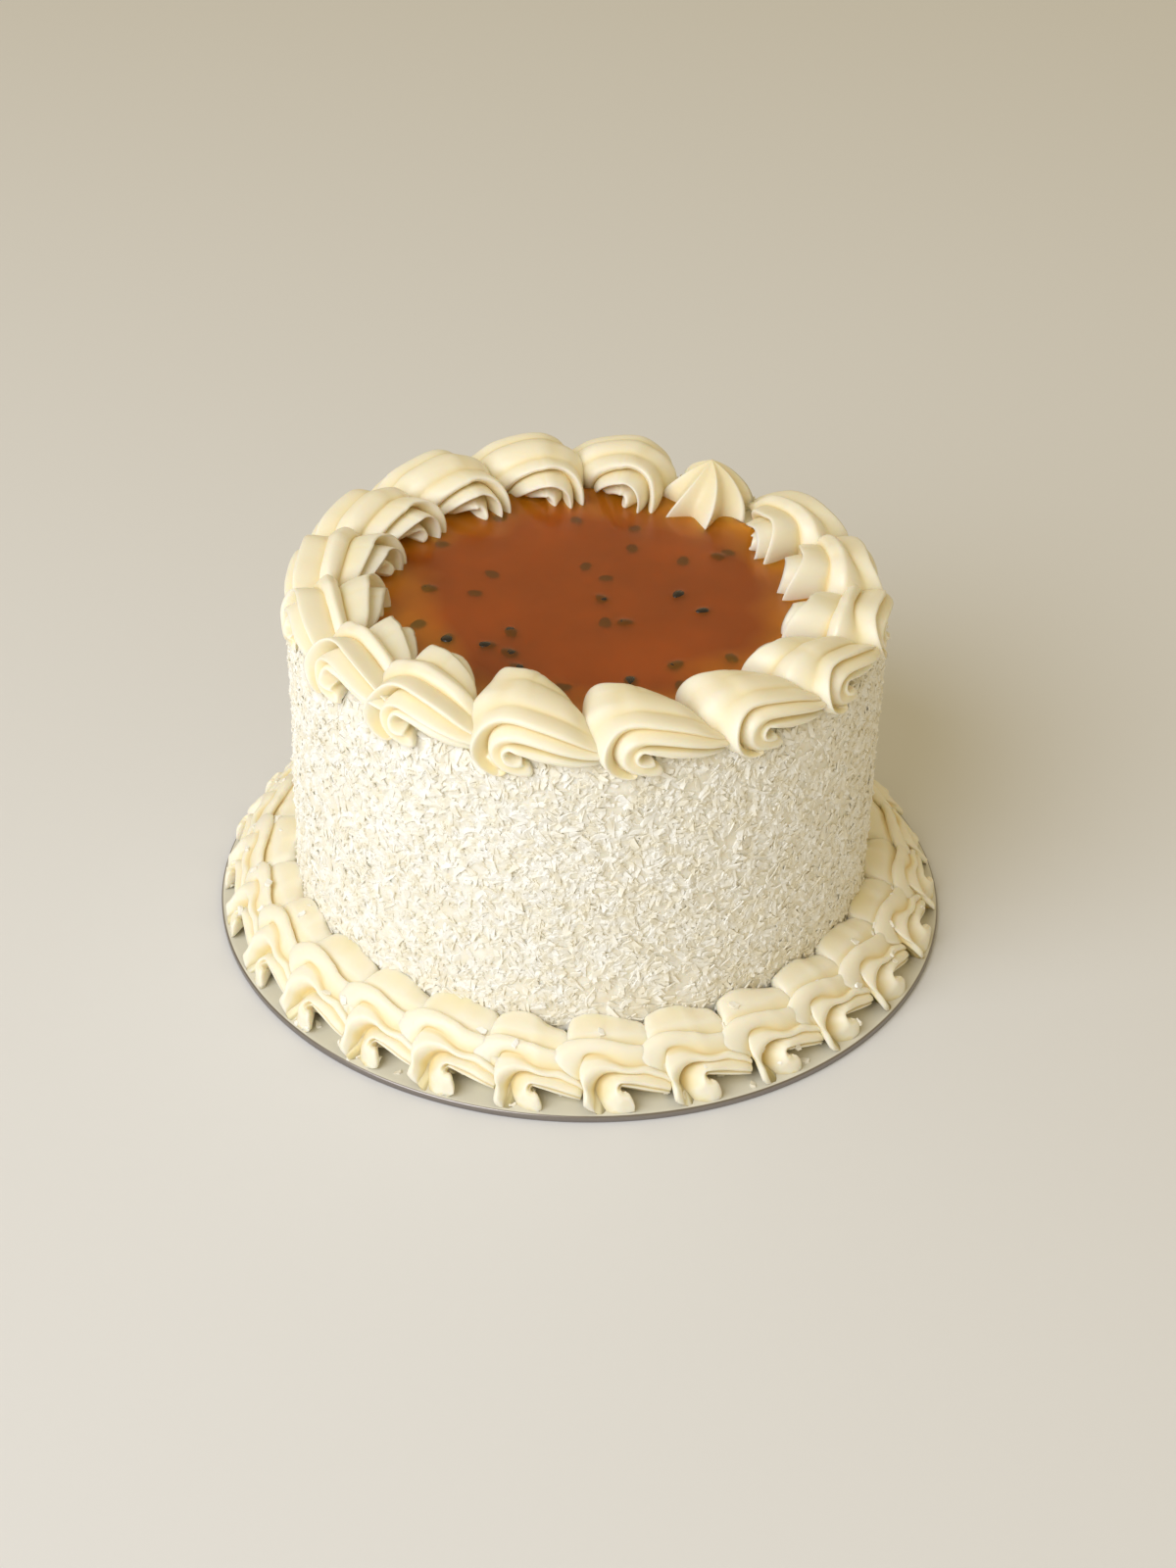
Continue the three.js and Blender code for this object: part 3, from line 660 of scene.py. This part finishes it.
def coatFinish():
    # The cream that holds the coconut, seen between the shreds.
    return mottledFinish("coconut coat", cake)


coatPiece = cakeMesh()
addPiece(coatPiece, "cake_body", coatFinish())
print("cake and card")

coconut = {
    "perKind": 7000,  # shreds of each kind on the wall, before the bare patches take some away
    "leastSize": 0.7, "mostSize": 1.25, "tilt": 0.36, "barePatches": 0.6,
    "seed": 3, "turnSeeds": (11, 12, 13),
    "bareScale": 85, "bareBelow": 0.38, "fullAbove": 0.56,  # the noise that leaves patches bare
    "fallen": 3500,  # loose crumbs to the square metre of the foot border and the card
    "fallenLeast": 0.6, "fallenMost": 1.5, "fallenTilt": 0.2, "fallenTop": 30,
    "kinds": {  # length, width, thickness and bend of one shred in millimetres
        "long": (4.5, 1.25, 0.34, 0.55), "short": (3.2, 1.45, 0.4, 0.35), "thin": (3.8, 0.9, 0.3, 0.65),
        "crumb": (1.9, 1.2, 0.55, 0.15),
    },
    # A shred's ragged outline: where along it, half widths to either side, how far it twists.
    "outline": [
        (-0.5, 0.3, 0.42, -0.3), (-0.2, 0.55, 0.42, 0.1), (0.18, 0.38, 0.5, 0.2), (0.5, 0.34, 0.16, 0.5),
    ],
    "look": {
        "Base Color": (0.95, 0.93, 0.88), "Roughness": 0.5,
        "Subsurface Weight": 0.08, "Subsurface Radius": (1.0, 0.9, 0.75), "Subsurface Scale": 0.001,
    },
    "patches": (300, 2), "tints": [(0.36, (0.865, 0.815, 0.67)), (0.6, (0.945, 0.93, 0.87))],
    "grain": (1800, 2, 0.3, 0.0001),
}


def shredMesh(name, length, width, thickness, bend):
    # A flat bent sliver with sharp edges. It stays out of the scene, because it is only the pattern.
    points = []
    deep = thickness / 2
    for along, left, right, twist in coconut["outline"]:
        x = along * length
        lift = bend * (0.25 - along**2)
        near, far = left * width, -right * width
        points += [(x, near, lift + deep + near * twist), (x, near, lift - deep + near * twist)]
        points += [(x, far, lift - deep + far * twist), (x, far, lift + deep + far * twist)]
    points = [tuple(value * mm for value in point) for point in points]
    faces = [(0, 1, 2, 3), (15, 14, 13, 12)]
    for row in (0, 4, 8):
        for i in range(4):
            j = (i + 1) % 4
            faces.append((row + i, row + j, row + 4 + j, row + 4 + i))
    shred = plainMesh(name, points, faces)
    shred.data.polygons.foreach_set("use_smooth", [False] * len(faces))
    bpy.context.scene.collection.objects.unlink(shred)
    return shred


def treeNode(tree, kind, inputs=None, **settings):
    # An input is given either the socket that feeds it or its own value.
    node = tree.nodes.new(kind)
    for key, value in settings.items():
        setattr(node, key, value)
    for key, value in (inputs or {}).items():
        if isinstance(value, bpy.types.NodeSocket):
            tree.links.new(value, node.inputs[key])
        else:
            node.inputs[key].default_value = value
    return node


def betweenHeights(tree, place, given):
    height = treeNode(tree, "ShaderNodeSeparateXYZ", {0: place}).outputs["Z"]
    above = treeNode(tree, "FunctionNodeCompare", {"A": height, "B": given["Low"]}, operation="GREATER_THAN")
    below = treeNode(tree, "FunctionNodeCompare", {"A": height, "B": given["High"]}, operation="LESS_THAN")
    return treeNode(tree, "FunctionNodeBooleanMath", {0: above.outputs[0], 1: below.outputs[0]}).outputs[0]


def patchyDensity(tree, place, given):
    # The density, brought down where a noise leaves patches bare.
    patches = treeNode(tree, "ShaderNodeTexNoise", {
        "Vector": place, "Scale": coconut["bareScale"], "Detail": 2})
    thinnest = treeNode(tree, "ShaderNodeMath", {0: 1, 1: given["Bare patches"]}, operation="SUBTRACT")
    share = treeNode(tree, "ShaderNodeMapRange", {
        "Value": patches.outputs[0], "From Min": coconut["bareBelow"], "From Max": coconut["fullAbove"],
        "To Min": thinnest.outputs[0]})
    inputs = {0: share.outputs[0], 1: given["Density"]}
    return treeNode(tree, "ShaderNodeMath", inputs, operation="MULTIPLY").outputs[0]


def randomTurn(tree, given):
    # Tilted both ways by up to the tilt, and turned any way round.
    tiltBack = treeNode(tree, "ShaderNodeMath", {0: given["Tilt"], 1: -1}, operation="MULTIPLY").outputs[0]
    limits = {"X": (tiltBack, given["Tilt"]), "Y": (tiltBack, given["Tilt"]), "Z": (-math.pi, math.pi)}
    turn = treeNode(tree, "ShaderNodeCombineXYZ")
    for (axis, (least, most)), seed in zip(limits.items(), coconut["turnSeeds"]):
        angle = treeNode(tree, "FunctionNodeRandomValue", {"Min": least, "Max": most, "Seed": seed})
        tree.links.new(angle.outputs["Value"], turn.inputs[axis])
    return treeNode(tree, "FunctionNodeEulerToRotation", {0: turn.outputs[0]}).outputs[0]


def strewTree(name):
    # Strews one shape over a surface between two heights, thinly in patches. Lengths are in metres.
    tree = bpy.data.node_groups.new(name, "GeometryNodeTree")
    kinds = {"Surface": "Geometry", "Shape": "Object", "Material": "Material", "Seed": "Int"}
    for label in (*kinds, "Density", "Least size", "Most size", "Tilt", "Low", "High", "Bare patches"):
        kind = kinds.get(label, "Float")
        tree.interface.new_socket(label, in_out="INPUT", socket_type="NodeSocket" + kind)
    tree.interface.new_socket("Strewn", in_out="OUTPUT", socket_type="NodeSocketGeometry")
    given = treeNode(tree, "NodeGroupInput").outputs
    place = treeNode(tree, "GeometryNodeInputPosition").outputs[0]
    points = treeNode(tree, "GeometryNodeDistributePointsOnFaces", {
        "Mesh": given["Surface"], "Seed": given["Seed"], "Density": patchyDensity(tree, place, given),
        "Selection": betweenHeights(tree, place, given)}).outputs
    size = treeNode(tree, "FunctionNodeRandomValue", {
        "Min": given["Least size"], "Max": given["Most size"], "Seed": given["Seed"]})
    spin = treeNode(tree, "FunctionNodeRotateRotation", {
        "Rotation": points["Rotation"], "Rotate By": randomTurn(tree, given)}, rotation_space="LOCAL")
    shape = treeNode(tree, "GeometryNodeObjectInfo", {"Object": given["Shape"]})
    strewn = treeNode(tree, "GeometryNodeInstanceOnPoints", {
        "Points": points["Points"], "Instance": shape.outputs["Geometry"],
        "Scale": size.outputs["Value"], "Rotation": spin.outputs[0]})
    solid = treeNode(tree, "GeometryNodeRealizeInstances", {0: strewn.outputs["Instances"]}).outputs[0]
    painted = treeNode(tree, "GeometryNodeSetMaterial", {"Geometry": solid, "Material": given["Material"]})
    treeNode(tree, "NodeGroupOutput", {0: painted.outputs[0]})
    return tree


def strew(name, surface, shape, settings, material):
    # The tree is run on a copy of the surface, and what it makes is kept as a plain mesh.
    piece = bpy.data.objects.new(name, surface.data.copy())
    bpy.context.scene.collection.objects.link(piece)
    modifier = piece.modifiers.new("strew", "NODES")
    tree = strewTree(name + " tree")
    modifier.node_group = tree
    sockets = {item.name: item.identifier for item in tree.interface.items_tree if item.in_out == "INPUT"}
    for label, value in dict(settings, Shape=shape, Material=material).items():
        modifier[sockets[label]] = value
    tied = piece.evaluated_get(bpy.context.evaluated_depsgraph_get())
    mesh = bpy.data.meshes.new_from_object(tied)
    piece.modifiers.remove(modifier)
    piece.data = mesh
    bpy.data.node_groups.remove(tree)
    bpy.data.objects.remove(shape)
    addPiece(piece, None, material)
    print(name, len(mesh.polygons))


def shredFinish():
    # Moist white coconut, a little clearer and warmer in patches.
    return mottledFinish("coconut shreds", coconut)


shredMaterial = shredFinish()
wallArea = 2 * math.pi * cake["footRadius"] * mm * (cake["coatTo"] - cake["coatFrom"]) * mm
for number, (kind, sizes) in enumerate(coconut["kinds"].items()):
    strew("coconut_" + kind, coatPiece, shredMesh("shred_" + kind, *sizes), {
        "Density": coconut["perKind"] / wallArea, "Seed": coconut["seed"] + number,
        "Least size": coconut["leastSize"], "Most size": coconut["mostSize"], "Tilt": coconut["tilt"],
        "Low": cake["coatFrom"] * mm, "High": cake["coatTo"] * mm, "Bare patches": coconut["barePatches"],
    }, shredMaterial)


def joined(name, meshes):
    # One bare surface out of several, only to strew on.
    bm = bmesh.new()
    for mesh in meshes:
        bm.from_mesh(mesh)
    whole = bpy.data.meshes.new(name)
    bm.to_mesh(whole)
    bm.free()
    return bpy.data.objects.new(name, whole)


fallenOn = joined("fallen_on", [piece.data for piece in footPieces] + [cardPiece.data])
strew("coconut_fallen", fallenOn, shredMesh("shred_fallen", *coconut["kinds"]["crumb"]), {
    "Density": coconut["fallen"], "Seed": coconut["seed"] + 10,
    "Least size": coconut["fallenLeast"], "Most size": coconut["fallenMost"], "Tilt": coconut["fallenTilt"],
    "Low": card["thickness"] * mm - 0.0001, "High": coconut["fallenTop"] * mm,
}, shredMaterial)
bpy.data.objects.remove(fallenOn)

glaze = {
    "radius": 59.5, "bottom": 93.7, "top": 95.3, "edgeRise": 0.5, "edgeWidth": 7, "ripple": 0.05,
    "around": 288, "rings": 96, "innermost": 0.3,
    "look": {
        "Base Color": (0.5, 0.185, 0.04), "Roughness": 0.3, "Transmission Weight": 0.85, "IOR": 1.36,
        "Specular IOR Level": 0.12, "Coat Weight": 0.12, "Coat Roughness": 0.05,
    },
    "patches": (34, 3), "tints": [(0.3, (0.6, 0.175, 0.002)), (0.7, (0.75, 0.235, 0.004))],
    # The golden ring towards the rim is partly painted reflection of the border and painted light where the
    # border shades the jelly.
    "gold": (1.0, 0.54, 0.03), "goldFrom": 42, "goldTo": 60, "goldFull": 0.85,  # where it turns golden
    "goldPatches": (38, 2), "goldUneven": 16,
}
seeds = {
    "length": 4.4, "width": 2.9, "thickness": 1.3, "rings": 7, "sides": 14,
    "blunt": 0.85, "fuller": 0.28, "tilt": 0.075, "sizeVariety": 0.12,
    "proud": 0.385, "bumpFall": 1.1,  # how high the jelly's bump over a seed is, and how fast it falls away
    "bare": 0.4, "covered": 0.68, "depthVariety": 0.08,  # how deep the middle of a seed lies below the bump
    "sunk": 0.75,  # how high the deep ones lie above the jelly's underside
    "breaking": [2, 4],  # which of the showing seeds lie bare and break through the surface
    # The seeds that show, as distance from the middle and degrees round the cake, and those that lie deep.
    "showing": [
        (4, 336), (17, 306), (24, 3), (28, 226), (31, 347), (36, 237), (37, 227), (41, 245), (41, 304),
        (42, 178), (43, 214), (42, 33), (44, 285), (48, 321),
    ],
    "deep": [
        (47, 201), (46, 34), (33, 39), (29, 66), (40, 72), (42, 95), (28, 158), (11, 64), (16, 93), (14, 290),
        (30, 180), (49, 121), (48, 147), (46, 263), (50, 299),
    ],
    "look": {"Base Color": (0.012, 0.008, 0.006), "Roughness": 0.25},
    "patches": (1500, 2), "tints": [(0.35, (0.008, 0.005, 0.004)), (0.7, (0.03, 0.016, 0.01))],
    "grain": (2500, 2, 0.4, 0.0001),
}


def seedPlace(spot):
    turn = math.radians(spot[1])
    return spot[0] * math.cos(turn), spot[0] * math.sin(turn)


def seedHeading(i):
    return wobble(i, 31) * math.pi


def glazeHeight(x, y):
    # Level in the middle, climbing a little to the feet of the border, with a low bump over each seed.
    rim = glaze["radius"]
    z = glaze["top"] + glaze["edgeRise"] * smooth(np.hypot(x, y), rim - glaze["edgeWidth"], rim)
    for i, spot in enumerate(seeds["showing"]):
        heading = seedHeading(i)
        dx, dy = x - seedPlace(spot)[0], y - seedPlace(spot)[1]
        along = (dx * math.cos(heading) + dy * math.sin(heading)) / (seeds["length"] / 2)
        across = (-dx * math.sin(heading) + dy * math.cos(heading)) / (seeds["width"] / 2)
        z = z + seeds["proud"] * np.exp(-seeds["bumpFall"] * (along**2 + across**2))
    return z + glaze["ripple"] * np.sin(x * 0.21 + 1.3) * np.sin(y * 0.17 + 0.4)


def glazeMesh():
    # The underside has only four rings, the last two close to the edge so that it stays crisp.
    u = glaze["around"]
    angle = np.arange(u) * 2 * math.pi / u
    reach = np.linspace(glaze["innermost"], glaze["radius"], glaze["rings"])
    x, y = reach[:, None] * np.cos(angle), reach[:, None] * np.sin(angle)
    underReach = np.array([glaze["innermost"], 30, glaze["radius"] - 1, glaze["radius"] - 0.2])
    radius = np.repeat(np.concatenate([underReach, reach[::-1]])[:, None], u, 1)
    z = np.concatenate([np.full((len(underReach), u), glaze["bottom"]), glazeHeight(x, y)[::-1]])
    return gridMesh("mango_glaze_jelly", radius, np.repeat(angle[None, :], len(z), 0), z)


def glazeFinish():
    # Cloudy orange jelly that blurs what lies deep in it, under a thin wet gloss. Golden towards its rim:
    # partly the border's cream under the jelly, partly a painted reflection of the border and painted light
    # where the border shades the jelly.
    material, shader = newMaterial("mango glaze", glaze["look"])
    tint = ramp(material, noise(material, *glaze["patches"]), glaze["tints"])
    # The golden ring: partly painted reflection of the border and painted light where the border shades the
    # jelly.
    uneven = noise(material, *glaze["goldPatches"])
    outer = radiusShare(material, glaze["goldFrom"], glaze["goldTo"], uneven, glaze["goldUneven"])
    golden = ramp(material, outer, [(0, (0, 0, 0)), (glaze["goldFull"], (1, 1, 1))])
    mix = addNode(material, "ShaderNodeMix", data_type="RGBA")
    mix.inputs["B"].default_value = (*glaze["gold"], 1)
    tie(material, golden, mix.inputs["Factor"])
    tie(material, tint, mix.inputs["A"])
    tie(material, mix.outputs["Result"], shader.inputs["Base Color"])
    return material


def seedPoints(spot, i, z):
    # A flat almond from tip to tip, fuller at one end, with its own heading, tilt and size.
    x, y = seedPlace(spot)
    heading = seedHeading(i)
    tilt = seeds["tilt"] * wobble(i, 37)
    size = 1 + seeds["sizeVariety"] * wobble(i, 41)
    points = []
    for ring in range(seeds["rings"]):
        polar = math.pi * ring / (seeds["rings"] - 1)
        along = math.cos(polar) * seeds["length"] / 2
        girth = math.sin(polar) ** seeds["blunt"] * (1 + seeds["fuller"] * math.cos(polar))
        for side in range(seeds["sides"] if 0 < ring < seeds["rings"] - 1 else 1):
            turn = 2 * math.pi * side / seeds["sides"]
            across = girth * math.cos(turn) * seeds["width"] / 2
            up = girth * math.sin(turn) * seeds["thickness"] / 2 + along * tilt
            px = x + size * (along * math.cos(heading) - across * math.sin(heading))
            py = y + size * (along * math.sin(heading) + across * math.cos(heading))
            points.append((px * mm, py * mm, (z + size * up) * mm))
    return points


def seedFaces(start):
    rings, sides = seeds["rings"], seeds["sides"]
    body = start + 1
    last = body + (rings - 2) * sides
    faces = []
    for side in range(sides):
        after = (side + 1) % sides
        faces.append((start, body + after, body + side))
        for ring in range(rings - 3):
            a = body + ring * sides
            faces.append((a + side, a + after, a + sides + after, a + sides + side))
        faces.append((last, last - sides + side, last - sides + after))
    return faces


def seedsMesh(name, spots, height, first):
    points, faces = [], []
    for i, spot in enumerate(spots, first):
        faces += seedFaces(len(points))
        points += seedPoints(spot, i, height(*seedPlace(spot), i))
    return plainMesh(name, points, faces)


def showingHeight(x, y, i):
    if i in seeds["breaking"]:
        return float(glazeHeight(x, y)) - seeds["bare"]
    return float(glazeHeight(x, y)) - (seeds["covered"] + seeds["depthVariety"] * wobble(i, 43))


def deepHeight(x, y, i):
    return glaze["bottom"] + seeds["sunk"]


def seedFinish():
    # Dark brown, nearly black, with a fine grain.
    return mottledFinish("passion fruit seed", seeds)


addPiece(glazeMesh(), "mango_glaze", glazeFinish())
seedMaterial = seedFinish()
addPiece(seedsMesh("seeds_showing", seeds["showing"], showingHeight, 0), None, seedMaterial)
addPiece(seedsMesh("seeds_sunk", seeds["deep"], deepHeight, 40), None, seedMaterial)
print("glaze and seeds")

# The camera stands where the photograph was taken. Angles are in radians, lengths in metres.
photo = {
    "height": 1600, "focalPixels": 2574, "elevation": 0.598498162, "distance": 0.702422765,
    "aimAcross": 0.00146853854, "aimHeight": 0.0345573768, "roll": 0.026971305, "sensor": 36,
}


def placeCamera():
    eye = bpy.data.cameras.new("camera")
    camera = bpy.data.objects.new("camera", eye)
    bpy.context.scene.collection.objects.link(camera)
    bpy.context.scene.camera = camera
    eye.sensor_fit = "VERTICAL"
    eye.sensor_height = photo["sensor"]
    eye.lens = photo["focalPixels"] / photo["height"] * photo["sensor"]
    rise, roll = photo["elevation"], photo["roll"]
    back = Vector((0, -math.cos(rise), math.sin(rise)))
    right = Vector((1, 0, 0))
    up = right.cross(-back)
    across = math.cos(roll) * right + math.sin(roll) * up
    upright = -math.sin(roll) * right + math.cos(roll) * up
    place = Matrix((across, upright, back)).transposed().to_4x4()
    place.translation = Vector((photo["aimAcross"], 0, photo["aimHeight"])) + back * photo["distance"]
    camera.matrix_world = place


studio = {
    "world": (1.0, 0.83, 0.5), "worldStrength": 0.52,
    "windowPlace": (-0.95, -1.1, 1.1), "windowAim": (0, 0, 0.06), "windowSize": 1.6, "windowPower": 25,
    "windowColour": (0.92, 0.985, 1.11),
    "floorReach": 9, "floorLook": {"Base Color": (0.78, 0.785, 0.8), "Roughness": 0.7},
}


def lightStudio():
    # One large soft window from the left, under a warm even sky.
    bpy.context.scene.view_settings.view_transform = "Standard"
    world = bpy.data.worlds.new("studio")
    bpy.context.scene.world = world
    world.use_nodes = True
    background = world.node_tree.nodes["Background"]
    background.inputs["Color"].default_value = (*studio["world"], 1)
    background.inputs["Strength"].default_value = studio["worldStrength"]
    light = bpy.data.lights.new("window", "AREA")
    light.shape = "DISK"
    light.size = studio["windowSize"]
    light.energy = studio["windowPower"]
    light.color = studio["windowColour"]
    window = bpy.data.objects.new("window", light)
    bpy.context.scene.collection.objects.link(window)
    window.location = studio["windowPlace"]
    toAim = Vector(studio["windowAim"]) - Vector(studio["windowPlace"])
    window.rotation_euler = toAim.to_track_quat("-Z", "Y").to_euler()


def floorPiece():
    reach = studio["floorReach"]
    corners = [(-reach, -reach, 0), (reach, -reach, 0), (reach, reach, 0), (-reach, reach, 0)]
    piece = plainMesh("floor", corners, [(0, 1, 2, 3)])
    piece.data.materials.append(newMaterial("floor", studio["floorLook"])[0])
    return piece


placeCamera()
lightStudio()
floor = floorPiece()
print("camera, light and floor")
